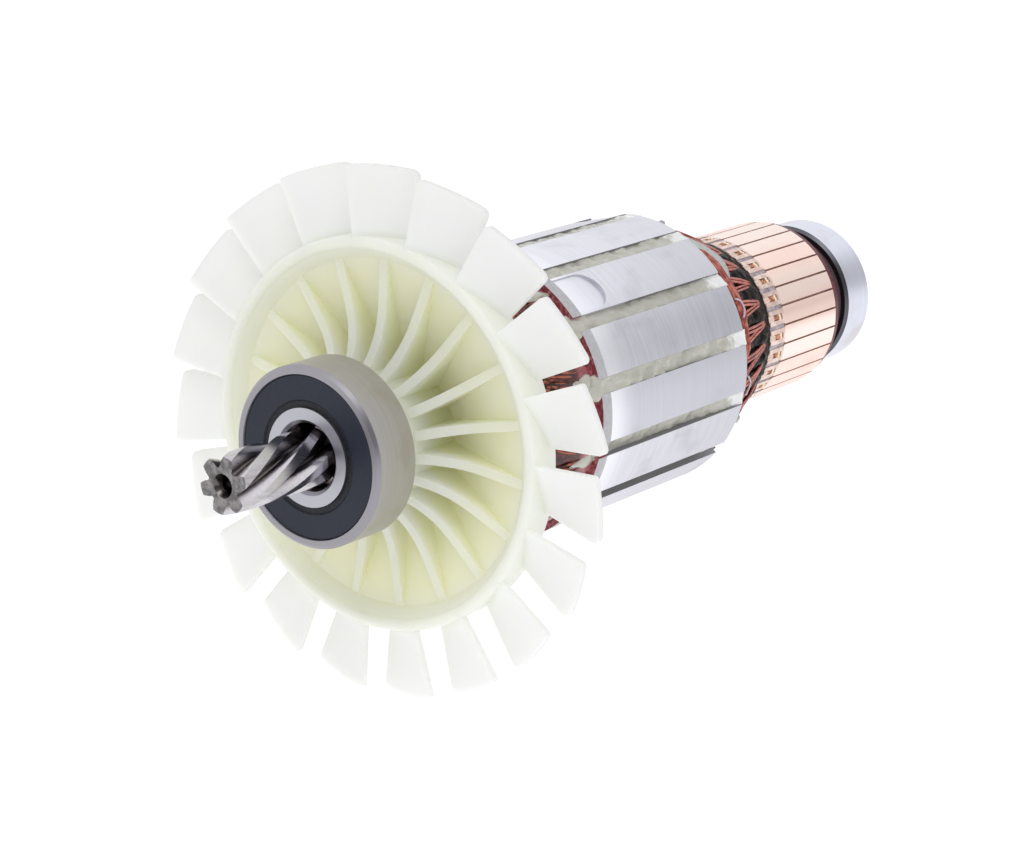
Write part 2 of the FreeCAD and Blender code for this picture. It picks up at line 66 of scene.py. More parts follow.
# Studio round the part. Steel mirrors a dark room behind the camera and a grey wall past the
# commutator: the direction of each, the cosines where it begins and is full, and how much it
# darkens. Rough surfaces get even light.
room_direction = (-0.72, -0.60, 0.05)
room_span = (0.35, 0.95)
room_shade = 0.88
wall_direction = (0.82, -0.56, 0.04)
wall_span = (0.80, 0.97)
wall_shade = 0.50
mirrored_light = 1.10
even_light = 0.68
floor_reach = 6.0
floor_gap = 0.1 * mm


def extent(name):
    """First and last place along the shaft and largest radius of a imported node."""
    points = [vertex.co / mm for vertex in nodes[name].data.vertices]
    places = [point.x for point in points]
    radius = max(math.hypot(point.y, point.z) for point in points)
    return [round(value, 2) for value in (min(places), max(places), radius)]


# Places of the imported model
shaft_x = extent("armature_shaft")[0]
bearing_x = extent("front_bearing_inner_ring")[0]
fan_x = extent("cooling_fan")[0]
disc_x = extent("front_end_disc")[0]
core_x, core_end_x, core_radius = extent("lamination_stack")
rear_disc_x = extent("rear_end_disc")[1]
cone_x, cone_end_x, cone_start_radius = extent("lead_binding")
riser_x, bar_end_x, bar_radius = extent("commutator_bars")

# What the extents don't give: a riser's length, and how far below the bars the cone ends
riser_length = 5.2
cone_drop = 0.7
bar_x = riser_x + riser_length
cone_end_radius = bar_radius - cone_drop

# Slots and risers: how many, the angle of the first, and half a slot's opening
slot_count = 14
slot_phase = -0.4
slot_half_width = 1.43
riser_count = 28
riser_phase = 0.4


# Node trees

class Graph:
    """Node tree that is built up from sockets and plain values."""

    def __init__(self, tree):
        self.tree = tree
        self.place = self.add("TexCoord", {}).outputs

    def join(self, socket, value):
        """Links a socket, or gives it a plain value."""
        if isinstance(value, bpy.types.NodeSocket):
            self.tree.links.new(value, socket)
        else:
            socket.default_value = value

    def add(self, kind, inputs, **settings):
        node = self.tree.nodes.new("ShaderNode" + kind)
        for key, value in settings.items():
            setattr(node, key, value)
        for key, value in inputs.items():
            self.join(node.inputs[key], value)
        return node

    def math(self, operation, a, b=0.0):
        return self.add("Math", {0: a, 1: b}, operation=operation).outputs[0]

    def scaled(self, value, share, base):
        """Value times a share, on top of a base."""
        return self.math("ADD", self.math("MULTIPLY", value, share), base)

    def dot(self, a, b):
        return self.add("VectorMath", {0: a, 1: b}, operation="DOT_PRODUCT").outputs["Value"]

    def step(self, value, low, high, start=0.0, stop=1.0):
        """Smooth change between two values."""
        span = self.add("MapRange", {"Value": value, "From Min": low, "From Max": high,
                                     "To Min": start, "To Max": stop},
                        interpolation_type="SMOOTHSTEP")
        return span.outputs["Result"]


class Finish(Graph):
    """Principled material that is put together from procedural parts."""

    def __init__(self, name, colour, roughness, metallic=0.0):
        self.material = bpy.data.materials.new(name)
        self.material.use_nodes = True
        super().__init__(self.material.node_tree)
        self.shader = self.tree.nodes["Principled BSDF"]
        self.set("Base Color", (*colour, 1))
        self.set("Roughness", roughness)
        self.set("Metallic", metallic)

    def set(self, name, value):
        self.join(self.shader.inputs[name], value)

    def along(self):
        """Place along the shaft, in millimetres."""
        parts = self.add("SeparateXYZ", {0: self.place["Object"]})
        return self.math("MULTIPLY", parts.outputs["X"], 1000.0)

    def outward(self):
        """Way from the shaft's axis to the point."""
        flat = self.add("VectorMath", {0: self.place["Object"], 1: (0, 1, 1)}, operation="MULTIPLY")
        return flat.outputs[0]

    def away(self):
        """Direction straight away from the shaft."""
        return self.add("VectorMath", {0: self.outward()}, operation="NORMALIZE").outputs[0]

    def radius(self):
        """Distance from the shaft's axis, in millimetres."""
        length = self.add("VectorMath", {0: self.outward()}, operation="LENGTH")
        return self.math("MULTIPLY", length.outputs["Value"], 1000.0)

    def facing_out(self, low=0.55, high=0.85):
        """One on a face turned away from the shaft, none on a wall or an end."""
        dot = self.dot(self.away(), self.place["Normal"])
        return self.step(self.math("ABSOLUTE", dot), low, high)

    def towards(self, angle, outer, inner):
        """One round an angle about the shaft, none beyond the outer width from it, in degrees."""
        turn = math.radians(angle)
        dot = self.dot(self.away(), (0.0, -math.sin(turn), math.cos(turn)))
        return self.step(dot, math.cos(math.radians(outer)), math.cos(math.radians(inner)))

    def noise(self, along, across, detail, roughness=0.5, lift=0.0):
        """Noise with so many cells to the millimetre along the shaft and across it."""
        stretch = [1000.0 * value for value in (along, across, across)]
        mapped = self.add("Mapping", {"Vector": self.place["Object"], "Scale": stretch,
                                      "Location": (lift, lift, lift)})
        return self.noise_at(mapped.outputs[0], detail, roughness)

    def noise_at(self, vector, detail, roughness=0.5):
        texture = self.add("TexNoise", {"Vector": vector, "Scale": 1.0, "Detail": detail,
                                        "Roughness": roughness})
        return texture.outputs["Fac"]

    def ramp(self, value, *stops):
        """Colour for a value, from pairs of place and colour."""
        node = self.add("ValToRGB", {0: value})
        band = node.color_ramp
        while len(band.elements) < len(stops):
            band.elements.new(0.5)
        for element, (place, colour) in zip(band.elements, stops):
            element.position = place
            element.color = (*colour, 1)
        return node.outputs["Color"]

    def mix(self, share, a, b):
        """Mixed colour."""
        a, b = [(*value, 1) if isinstance(value, tuple) else value for value in (a, b)]
        node = self.add("Mix", {0: share, 6: a, 7: b}, data_type="RGBA")
        return node.outputs[2]

    def tint(self, mask, share, base, colour):
        """Base with a share of another colour where the mask is one."""
        return self.mix(self.math("MULTIPLY", mask, share), base, colour)

    def bump(self, height, depth, strength):
        """Bumps of a depth in millimetres."""
        self.set("Normal", self.add("Bump", {"Height": height, "Distance": depth * mm,
                                             "Strength": strength}).outputs[0])


# Camera, light and floor

def make_camera():
    """Camera at the photograph's place, with no tilt to the side."""
    data = bpy.data.cameras.new("photo_camera")
    data.lens = camera_lens
    data.sensor_width = 36.0
    data.clip_start = 0.01
    camera = bpy.data.objects.new("photo_camera", data)
    camera.location = camera_place
    camera.rotation_euler = (math.radians(90 - camera_elevation), 0, math.radians(camera_azimuth))
    bpy.context.scene.collection.objects.link(camera)
    bpy.context.scene.camera = camera


def make_area_light(name, place, aim, size, power):
    """Soft box that looks at a point."""
    data = bpy.data.lights.new(name, "AREA")
    data.shape = "RECTANGLE"
    data.size, data.size_y = size
    data.energy = power
    light = bpy.data.objects.new(name, data)
    light.location = place
    direction = Vector(aim) - Vector(place)
    light.rotation_euler = direction.to_track_quat("-Z", "Y").to_euler()
    bpy.context.scene.collection.objects.link(light)


def make_world():
    """White studio: even for soft light, with a dark room and a wall for what steel mirrors."""
    world = bpy.data.worlds.new("white_studio")
    bpy.context.scene.world = world
    world.use_nodes = True
    sky = Graph(world.node_tree)
    rays = sky.add("LightPath", {}).outputs

    def darkened(light, direction, span, shade):
        """Light that falls off by the shade towards a direction."""
        nearness = sky.step(sky.dot(sky.place["Generated"], Vector(direction).normalized()), *span)
        return sky.math("SUBTRACT", light, sky.math("MULTIPLY", nearness, shade))

    def choice(chosen, kind, otherwise):
        """One value for a kind of ray and another for the rest."""
        rest = sky.math("MULTIPLY", otherwise, sky.math("SUBTRACT", 1.0, rays[kind]))
        return sky.math("ADD", sky.math("MULTIPLY", chosen, rays[kind]), rest)

    mirrored = sky.math("MULTIPLY",
                        darkened(mirrored_light, room_direction, room_span, room_shade),
                        darkened(1.0, wall_direction, wall_span, wall_shade))
    lit = choice(mirrored, "Is Glossy Ray", even_light)
    background = sky.tree.nodes["Background"]
    sky.join(background.inputs["Strength"], 1.0)
    sky.join(background.inputs["Color"], choice(1.0, "Is Camera Ray", lit))


def make_floor():
    """Plain pale floor under the fan's lowest blade."""
    level = cad_low.z - floor_gap
    corners = [(x * floor_reach, y * floor_reach, level)
               for x, y in ((-1, -1), (1, -1), (1, 1), (-1, 1))]
    mesh = bpy.data.meshes.new("floor")
    mesh.from_pydata(corners, [], [(0, 1, 2, 3)])
    floor = bpy.data.objects.new("floor", mesh)
    bpy.context.scene.collection.objects.link(floor)
    finish = Finish("floor_white", (0.35, 0.35, 0.35), 0.85)
    finish.set("Emission Color", (1, 1, 1, 1))
    finish.set("Emission Strength", 0.85)
    mesh.materials.append(finish.material)


# Materials

def dress(finish, *names):
    """Gives CAD nodes a material."""
    for name in names:
        mesh = nodes[name].data
        mesh.materials.clear()
        mesh.materials.append(finish.material)


def shaft_finish():
    """Ground and hardened steel: painted shade that darkens the roots between the teeth and the seat
    inside the bearing, and a mottled, matte end.
    """
    root_radius, tooth_radius = 3.0, 4.6
    finish = Finish("shaft_steel", (0.4, 0.38, 0.4), 0.25, 1.0)
    place = finish.along()
    grain = finish.noise(0.6, 6.0, 4.0)
    # Painted shade: the roots between the teeth are darker than the teeth's tops.
    tooth = finish.step(finish.radius(), root_radius, tooth_radius)
    base = finish.mix(tooth, (0.12, 0.105, 0.105), (0.60, 0.58, 0.62))
    end = finish.step(place, shaft_x + 0.03, shaft_x + 0.2, 1.0, 0.0)
    mottle = finish.noise(0.9, 0.9, 5.0, 0.6, lift=1.5)
    face = finish.mix(finish.step(mottle, 0.36, 0.64), (0.135, 0.13, 0.13), (0.30, 0.29, 0.295))
    base = finish.mix(end, base, face)
    # Painted shade on the seat inside the bearing's bore.
    bearing_shade = finish.step(place, bearing_x + 0.4, bearing_x + 2.4)
    base = finish.mix(bearing_shade, base, (0.16, 0.13, 0.12))
    worn = finish.step(grain, 0.45, 0.75)
    finish.set("Base Color", finish.tint(worn, 0.3, base, (0.30, 0.27, 0.27)))
    finish.set("Roughness", finish.scaled(end, 0.3, finish.scaled(grain, 0.12, 0.12)))
    finish.bump(grain, 0.008, 0.4)
    return finish


def ring_finish(name, colour, rough, painted_face_share):
    """Ground bearing steel with faint turning lines round the axis, and painted shade on its end
    faces, which keep only a share of its colour.
    """
    finish = Finish(name, colour, rough, 1.0)
    lines = finish.noise(3.0, 0.02, 2.0)
    radial = finish.add("CombineXYZ", {0: finish.math("MULTIPLY", finish.radius(), 4.0)})
    rings = finish.noise_at(radial.outputs[0], 2.0)
    both = finish.math("MULTIPLY", finish.math("ADD", lines, rings), 0.5)
    darker = tuple(0.90 * value for value in colour)
    # Painted shade: the end faces keep only a share of the outer surface's colour.
    faces = tuple(painted_face_share * value for value in colour)
    stained = tuple(value * tone for value, tone in zip(colour, (0.86, 0.80, 0.76)))
    base = finish.mix(finish.step(both, 0.35, 0.65), darker, colour)
    cloud = finish.noise(0.12, 0.12, 3.0)
    base = finish.mix(finish.step(cloud, 0.5, 0.75), base, stained)
    finish.set("Base Color", finish.mix(finish.facing_out(0.75, 0.97), faces, base))
    finish.set("Roughness", finish.scaled(both, 0.16, rough - 0.08))
    return finish


def seal_finish(name, painted_lift):
    """Blue-black nitrile rubber with a moulded satin skin, each tone raised by a painted lift of
    light where the seal sits in shade.
    """
    lip_radius, flat_radius = 9.2, 10.4
    finish = Finish(name, (0.045, 0.05, 0.075), 0.45)
    speck = finish.noise(3.0, 3.0, 4.0)
    on_flat = finish.step(finish.radius(), lip_radius, flat_radius)
    tones = [(0.004, 0.004, 0.007), (0.014, 0.018, 0.034), (0.022, 0.026, 0.045)]
    # Painted light: the lift raises every tone of a seal that sits in shade.
    deep, flat, light = [tuple(a + b for a, b in zip(tone, painted_lift)) for tone in tones]
    base = finish.mix(on_flat, deep, flat)
    finish.set("Base Color", finish.mix(finish.step(speck, 0.45, 0.75), base, light))
    finish.set("Roughness", finish.scaled(speck, 0.2, 0.33))
    finish.set("Specular IOR Level", 0.3)
    finish.bump(speck, 0.03, 0.4)
    return finish


def nylon_finish():
    """Natural nylon: milky and slightly see-through, yellower where it is thick or deep."""
    dish_radius, dish_edge_radius = 27.0, 35.2
    body_radius, blade_radius = 33.6, 36.6
    finish = Finish("fan_nylon", (0.8, 0.82, 0.72), 0.42)
    radius = finish.radius()
    deep = finish.math("MULTIPLY", finish.step(radius, dish_radius, dish_edge_radius, 1.0, 0.0),
                       finish.step(finish.along(), fan_x + 7.0, fan_x + 9.0))
    body = finish.step(radius, body_radius, blade_radius, 1.0, 0.0)
    pale = finish.mix(body, (0.92, 0.95, 0.885), (0.79, 0.81, 0.70))
    base = finish.mix(deep, pale, (0.81, 0.82, 0.56))
    cloud = finish.step(finish.noise(0.05, 0.05, 3.0), 0.45, 0.75)
    finish.set("Base Color", finish.tint(cloud, 0.35, base, (0.87, 0.89, 0.72)))
    skin = finish.noise(0.5, 0.5, 3.0)
    finish.set("Roughness", finish.scaled(skin, 0.2, 0.32))
    finish.set("Subsurface Weight", 0.9)
    finish.set("Subsurface Radius", (9.0, 9.0, 7.0))
    finish.set("Subsurface Scale", mm)
    finish.set("Specular IOR Level", 0.3)
    finish.bump(skin, 0.03, 0.3)
    return finish


def lamination_finish():
    """Turned sheet edges: fine streaks round the core, with painted shade low down, away from the fan
    and on the slots' walls, and painted highlights along the front edge and at the top.
    """
    # Angles about the shaft of the painted shade low down, of the painted highlight at the top, and
    # of the balance cut.
    shade_angle, lit_angle, cut_angle = 90.0, 14.0, 38.2
    cut_end_x = core_x + 13.2
    finish = Finish("lamination_steel", (0.7, 0.7, 0.75), 0.35, 0.9)
    place = finish.along()
    streak = finish.noise(2.4, 0.05, 3.0)
    fine = finish.noise(7.0, 0.10, 2.0, lift=3.0)
    patch = finish.noise(0.10, 0.16, 4.0, lift=7.0)
    both = finish.scaled(streak, 0.6, finish.math("MULTIPLY", fine, 0.4))
    skin = finish.mix(finish.step(both, 0.35, 0.65), (0.645, 0.645, 0.705), (0.75, 0.75, 0.82))
    skin = finish.tint(finish.step(patch, 0.52, 0.74), 0.5, skin, (0.48, 0.48, 0.54))
    # Painted shade that deepens away from the fan.
    rear_shade = finish.step(place, core_x, core_end_x, 0.0, 0.35)
    skin = finish.mix(rear_shade, skin, (0.40, 0.40, 0.45))
    # Painted shade low down.
    skin = finish.tint(finish.towards(shade_angle, 17.0, 10.0), 0.55, skin, (0.50, 0.50, 0.56))
    # Painted highlight along the core's front edge.
    edge = finish.step(place, core_x + 0.2, core_x + 8.0, 1.0, 0.0)
    skin = finish.mix(edge, skin, (0.86, 0.86, 0.92))
    # Painted highlight at the top.
    skin = finish.tint(finish.towards(lit_angle, 14.0, 10.0), 0.25, skin, (0.90, 0.90, 0.98))
    milled = finish.step(finish.radius(), core_radius - 0.2, core_radius - 0.08, 1.0, 0.0)
    skin = finish.tint(milled, 0.3, skin, (0.80, 0.80, 0.90))
    # Painted shade on the slots' walls and the sheet ends, lighter at the balance cut.
    cut = finish.math("MULTIPLY", finish.towards(cut_angle, 11.0, 9.5),
                      finish.step(place, cut_end_x, cut_end_x + 2.0, 1.0, 0.0))
    wall = finish.mix(cut, (0.26, 0.26, 0.28), (0.62, 0.62, 0.68))
    outside = finish.facing_out()
    finish.set("Base Color", finish.mix(outside, wall, skin))
    finish.set("Metallic", finish.scaled(outside, 0.6, 0.3))
    finish.set("Roughness", finish.scaled(both, 0.2, 0.3))
    finish.bump(both, 0.01, 0.4)
    return finish


def fibre_finish():
    """Grey end disc of pressed fibre, with resin specks and red varnish on its faces."""
    finish = Finish("disc_fibre", (0.4, 0.4, 0.41), 0.55)
    speck = finish.noise(1.2, 1.2, 5.0)
    shade = finish.ramp(speck, (0.3, (0.43, 0.43, 0.46)), (0.55, (0.49, 0.49, 0.52)),
                        (0.75, (0.54, 0.54, 0.56)))
    soaked = finish.mix(finish.step(speck, 0.45, 0.7), (0.26, 0.05, 0.065), (0.50, 0.20, 0.22))
    finish.set("Base Color", finish.mix(finish.facing_out(), soaked, shade))
    finish.set("Roughness", finish.scaled(speck, 0.4, 0.3))
    finish.bump(speck, 0.05, 0.5)
    return finish


def liner_finish():
    """Brown insulating paper and the sleeve on the shaft, seen only in gaps."""
    finish = Finish("liner_paper", (0.3, 0.24, 0.16), 0.6)
    fibre = finish.noise(0.5, 3.0, 4.0)
    finish.set("Base Color", finish.mix(fibre, (0.20, 0.15, 0.09), (0.42, 0.34, 0.22)))
    finish.set("Roughness", finish.scaled(fibre, 0.3, 0.4))
    return finish


def paper_finish():
    """Pale grey paper soaked in varnish."""
    finish = Finish("varnished_paper", (0.45, 0.47, 0.47), 0.35)
    fibre = finish.noise(0.8, 1.5, 4.0)
    finish.set("Base Color", finish.mix(fibre, (0.30, 0.31, 0.31), (0.62, 0.64, 0.64)))
    finish.set("Roughness", finish.scaled(fibre, 0.3, 0.2))
    return finish


def cord_finish():
    """Pale lilac cord."""
    finish = Finish("lacing_cord", (0.62, 0.48, 0.56), 0.5)
    twist = finish.noise(2.0, 2.0, 3.0)
    finish.set("Base Color", finish.mix(twist, (0.45, 0.30, 0.36), (0.78, 0.68, 0.74)))
    return finish


def resin_finish():
    """Cream trickle resin: translucent and glossy, whiter at the commutator end."""
    white_x = rear_disc_x - 1.8
    finish = Finish("slot_resin", (0.74, 0.74, 0.64), 0.22)
    cloud = finish.noise(0.16, 0.6, 3.0)
    shade = finish.ramp(cloud, (0.30, (0.42, 0.415, 0.36)), (0.44, (0.47, 0.465, 0.405)),
                        (0.60, (0.51, 0.505, 0.445)), (0.8, (0.60, 0.60, 0.55)))
    ragged = finish.scaled(finish.noise(0.5, 0.5, 3.0, lift=2.0), 9.0, finish.along())
    white = finish.step(ragged, white_x, white_x + 2.5)
    finish.set("Base Color", finish.mix(white, shade, (0.86, 0.87, 0.87)))
    finish.set("Roughness", finish.scaled(cloud, 0.25, 0.12))
    finish.set("Subsurface Weight", 0.3)
    finish.set("Subsurface Radius", (1.0, 1.0, 0.8))
    finish.set("Subsurface Scale", mm)
    finish.set("Coat Weight", 0.4)
    finish.bump(finish.noise(0.7, 1.4, 4.0), 0.10, 0.6)
    return finish


def varnish_finish():
    """Coils under dark red varnish, with the turns as ridges, and maroon next to the front disc."""
    maroon_x = disc_x - 5.5
    inside_core_x = core_x + 13.2
    finish = Finish("winding_varnish", (0.15, 0.02, 0.017), 0.25)
    place = finish.along()
    turns = finish.noise(0.45, 1.1, 2.0)
    cloud = finish.noise(0.2, 0.2, 4.0)
    shade = finish.ramp(turns, (0.36, (0.025, 0.006, 0.007)), (0.5, (0.07, 0.012, 0.012)),
                        (0.66, (0.14, 0.025, 0.02)))
    shade = finish.mix(finish.step(cloud, 0.45, 0.8), shade, (0.10, 0.02, 0.02))
    by_disc = finish.math("MULTIPLY", finish.step(place, maroon_x, maroon_x + 2.6),
                          finish.step(place, inside_core_x, inside_core_x + 1.0, 1.0, 0.0))
    maroon = finish.mix(finish.step(turns, 0.4, 0.65), (0.30, 0.06, 0.08), (0.52, 0.18, 0.20))
    finish.set("Base Color", finish.mix(by_disc, shade, maroon))
    finish.set("Roughness", finish.scaled(cloud, 0.3, 0.12))
    finish.set("Coat Weight", 0.3)
    finish.bump(turns, 0.25, 0.8)
    return finish


def wire_finish(name, dark, bright, drips=(0.5, 0.5)):
    """Enamelled copper wire with drips of varnish."""
    finish = Finish(name, bright, 0.25)
    drip = finish.noise(*drips, 4.0)
    finish.set("Base Color", finish.mix(finish.step(drip, 0.42, 0.62), dark, bright))
    finish.set("Roughness", finish.scaled(drip, 0.25, 0.2))
    finish.set("Specular IOR Level", 0.35)
    return finish


def staked_finish():
    """Bared copper staked in the riser slots: beige with resin in front, and a painted highlight at
    the slot's end.
    """
    copper = (0.72, 0.34, 0.20)
    bare_x, highlight_x = riser_x + 1.1, riser_x + 3.2
    finish = Finish("bared_copper", copper, 0.25)
    place = finish.along()
    dirt = finish.noise(1.2, 1.2, 3.0, lift=6.0)
    base = finish.mix(finish.step(dirt, 0.42, 0.6), (0.26, 0.09, 0.05), copper)
    resin_coat = finish.step(place, bare_x, bare_x + 0.6, 1.0, 0.0)
    base = finish.mix(resin_coat, base, (0.84, 0.64, 0.55))
    # Painted highlight where the slot's end wall catches the light.
    end_highlight = finish.step(place, highlight_x, highlight_x + 0.3)
    finish.set("Base Color", finish.mix(end_highlight, base, (0.98, 0.82, 0.62)))
    finish.set("Metallic", finish.step(place, bare_x, bare_x + 0.6, 0.0, 0.5))
    finish.set("Roughness", finish.scaled(finish.noise(0.5, 0.5, 4.0), 0.25, 0.2))
    finish.set("Specular IOR Level", 0.35)
    return finish


def binding_finish():
    """Black bitumen varnish, wet-looking, with brown thin places."""
    finish = Finish("binding_varnish", (0.012, 0.009, 0.009), 0.2)
    lump = finish.noise(0.5, 0.5, 4.0)
    shade = finish.ramp(lump, (0.35, (0.004, 0.003, 0.003)), (0.6, (0.010, 0.007, 0.006)),
                        (0.8, (0.07, 0.03, 0.025)))
    finish.set("Base Color", shade)
    finish.set("Roughness", finish.scaled(lump, 0.3, 0.15))
    finish.set("IOR", 1.07)
    glint = finish.step(finish.noise(0.9, 0.9, 3.0, lift=4.0), 0.62, 0.70)
    finish.set("Coat Weight", finish.math("MULTIPLY", glint, 0.45))
    finish.set("Coat Roughness", 0.1)
    finish.bump(lump, 0.12, 0.5)
    return finish


# Bands of painted reflection along the brush track, one duller and three brighter, for what the bars
# mirror there: angle, half width with its soft edge and without, share and colour
track_reflection_bands = [(80.0, 9.0, 4.0, 0.9, (0.86, 0.64, 0.57)), (98.0, 13.0, 7.0, 0.9, (1.0, 0.88, 0.83)),
               (59.0, 12.0, 5.0, 0.9, (1.0, 0.81, 0.73)), (12.0, 26.0, 10.0, 0.7, (1.0, 0.87, 0.82))]


def bar_finish():
    """Turned copper: peach on the brush track with bands of painted reflection, duller on the risers
    and on the bars' walls, where painted light lifts the shade of the gaps.
    """
    finish = Finish("bar_copper", (0.86, 0.57, 0.42), 0.28, 0.45)
    line = finish.noise(5.0, 0.15, 3.0)
    patch = finish.noise(0.08, 0.22, 3.0, lift=5.0)
    dirt = finish.noise(0.9, 0.9, 4.0)
    track = finish.mix(finish.step(line, 0.35, 0.65), (0.97, 0.72, 0.64), (1.0, 0.77, 0.70))
    track = finish.tint(finish.step(patch, 0.45, 0.7), 0.6, track, (0.86, 0.60, 0.52))
    # Painted reflection: duller and brighter bands round the track.
    for angle, outer, inner, share, colour in track_reflection_bands:
        track = finish.tint(finish.towards(angle, outer, inner), share, track, colour)
    riser = finish.mix(finish.step(dirt, 0.4, 0.65), (0.70, 0.52, 0.46), (0.90, 0.72, 0.65))
    at_riser = finish.step(finish.along(), bar_x - 0.25, bar_x + 0.25, 1.0, 0.0)
    skin = finish.mix(at_riser, track, riser)
    # Walls of the bars in the gaps: duller copper, with painted light that lifts the shade in the
    # gaps.
    wall = finish.mix(at_riser, (0.72, 0.50, 0.42), (0.85, 0.67, 0.58))
    finish.set("Base Color", finish.mix(finish.facing_out(), wall, skin))
    finish.set("Roughness", finish.scaled(line, 0.1, 0.27))
    finish.bump(line, 0.003, 0.4)
    return finish


def moulding_finish():
    """Phenolic: lavender grey between the risers, brown in the gaps with painted light that lifts
    their shade, dark red at its end.
    """
    collar_x = bar_end_x - 1.9
    finish = Finish("moulding_phenolic", (0.06, 0.01, 0.012), 0.25)
    place = finish.along()
    dirt = finish.noise(0.8, 0.8, 4.0)
    web = finish.mix(finish.step(dirt, 0.4, 0.65), (0.30, 0.25, 0.28), (0.52, 0.46, 0.50))
    # Brown of the gaps between the bars, painted lighter to lift the shade in them.
    gap = finish.mix(finish.step(dirt, 0.5, 0.75), (0.45, 0.28, 0.22), (0.70, 0.48, 0.38))
    collar = finish.mix(finish.step(dirt, 0.35, 0.7), (0.09, 0.014, 0.02), (0.16, 0.02, 0.03))
    body = finish.mix(finish.step(place, bar_x - 0.05, bar_x + 0.05), web, gap)
    at_collar = finish.step(place, collar_x, collar_x + 0.3)
    finish.set("Base Color", finish.mix(at_collar, body, collar))
    finish.set("Roughness", finish.scaled(dirt, 0.3, 0.15))
    return finish


# Helpers for the added pieces

def spot(x, radius, angle):
    """Point at a place along the shaft, a radius and an angle, from millimetres to metres."""
    turn = math.radians(angle)
    return Vector((x, -radius * math.sin(turn), radius * math.cos(turn))) * mm


def clamp(value):
    """Value held between none and one."""
    return min(1.0, max(0.0, value))


# What brings noise to between about -1 and 1
noise_gain = 1.6


def rough(x, radius, angle, scale, seed=0.0):
    """Smooth random value between about -1 and 1 for a place on the part."""
    point = spot(x, radius, angle) / mm * scale + Vector((seed, seed * 0.7, -seed))
    return noise.noise(point, noise_basis="PERLIN_ORIGINAL") * noise_gain


def slot_angle(slot):
    """Angle of a slot's middle. Slots are counted from the top towards the camera."""
    return slot_phase + slot * 360.0 / slot_count


def riser_angle(riser):
    """Angle of a riser's middle."""
    return riser_phase + riser * 360.0 / riser_count


def cone_radius(x):
    """Radius of the bound cone between the coil head and the risers."""
    share = (x - cone_x) / (cone_end_x - cone_x)
    return cone_start_radius + (cone_end_radius - cone_start_radius) * share


def add_piece(name, data, finish):
    """Piece on the rotor from a mesh or curve."""
    data.materials.append(finish.material)
    piece = bpy.data.objects.new(name, data)
    bpy.context.scene.collection.objects.link(piece)
    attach(piece, "rotor")
    return piece


def add_mesh(name, points, faces, finish):
    """Piece from a mesh, smooth, on the rotor."""
    mesh = bpy.data.meshes.new(name)
    mesh.from_pydata(points, [], faces)
    mesh.shade_smooth()
    mesh.update()
    return add_piece(name, mesh, finish)


def add_wires(name, lines, radius, finish, detail=3):
    """Piece of round wires, each a smooth line through its own points."""
    data = bpy.data.curves.new(name, "CURVE")
    data.dimensions = "3D"
    data.bevel_depth = radius * mm
    data.bevel_resolution = 2
    data.resolution_u = detail
    data.use_fill_caps = True
    for line in lines:
        spline = data.splines.new("NURBS")
        spline.points.add(len(line) - 1)
        for point, place in zip(spline.points, line):
            point.co = (*place, 1.0)
        spline.use_endpoint_u = True
        spline.order_u = 3
    return add_piece(name, data, finish)


def grid_faces(rows, columns, offset=0, closed=False):
    """Quads of a grid of points, closed across the columns where it is a tube."""
    faces = []
    last = columns if closed else columns - 1
    for row in range(rows - 1):
        low = offset + row * columns
        high = low + columns
        for column in range(last):
            right = (column + 1) % columns
            faces.append((low + column, low + right, high + right, high + column))
    return faces


# Resin in the slots. How far it sinks at the fan end, the middle and the commutator end, how far
# it leans, and where it steps down, for each slot in sight and for the others.
slot_fill = {0: (0.35, 0.25, 0.05, 0.1, None), 1: (0.15, 0.3, 0.1, 0.2, None),
             2: (0.3, 0.7, 0.15, 0.45, None), 3: (0.1, 0.15, 0.15, -0.1, 63.4),
             4: (1.0, 1.25, 0.5, 0.0, None), 5: (1.3, 1.5, 1.2, 0.0, None)}
hidden_fill = (0.5, 0.8, 0.4, 0.1, None)
# Points across a strip as shares of its half width, and sections along it
strip_across = [-1.0, -0.9, -0.7, -0.45, -0.15, 0.15, 0.45, 0.7, 0.9, 1.0]
strip_rows = 120
# How far the strips run past the discs, into the slots' walls, and below the core's surface
strip_front_reach = 2.2
strip_rear_reach = 0.5
strip_overlap = 0.04
strip_clearance = 0.03
# How much wider and higher the resin is where it spills out at the fan end
spill_width = 0.9
spill_height = 0.25
# Lengths over which an end rounds off, and over which it bulges, at the fan end and at the other
round_lengths = (1.6, 0.9)
bulge_lengths = (4.5, 1.5)
# Heights of lumps, of ripples and of the edge that climbs the slot's walls
lump_height = 0.17
ripple_height = 0.07
climb_height = 0.22
# The step down: its depth, and where it starts to fade out and is gone
step_depth = 0.55
step_fade_x = core_end_x - 16.8
step_gone_x = core_end_x - 4.8
# Depths of a strip's end and of its underside below the core's surface
strip_end_depth = 2.2
strip_depth = 2.3


def strip_top(x, side, slot, sink):
    """Radius of a strip's top at a share of its half width, before its ends."""
    middle = slot_angle(slot)
    lean, step_x = slot_fill.get(slot, hidden_fill)[3:]
    lump = lump_height * rough(x, 26 + side, middle, 0.55, slot)
    lump += ripple_height * rough(x, 26 + 2 * side, middle, 1.6, slot + 5)
    if step_x:
        past = clamp((x - step_x - 0.9 * side ** 2) / 0.3)
        lump -= step_depth * past * clamp((step_gone_x - x) / (step_gone_x - step_fade_x))
    climb = climb_height * side ** 4 * (0.6 + rough(x, 30, middle + 9 * side, 0.35, 2))
    return core_radius - sink + lump + climb + lean * (side - 0.6) * 0.6


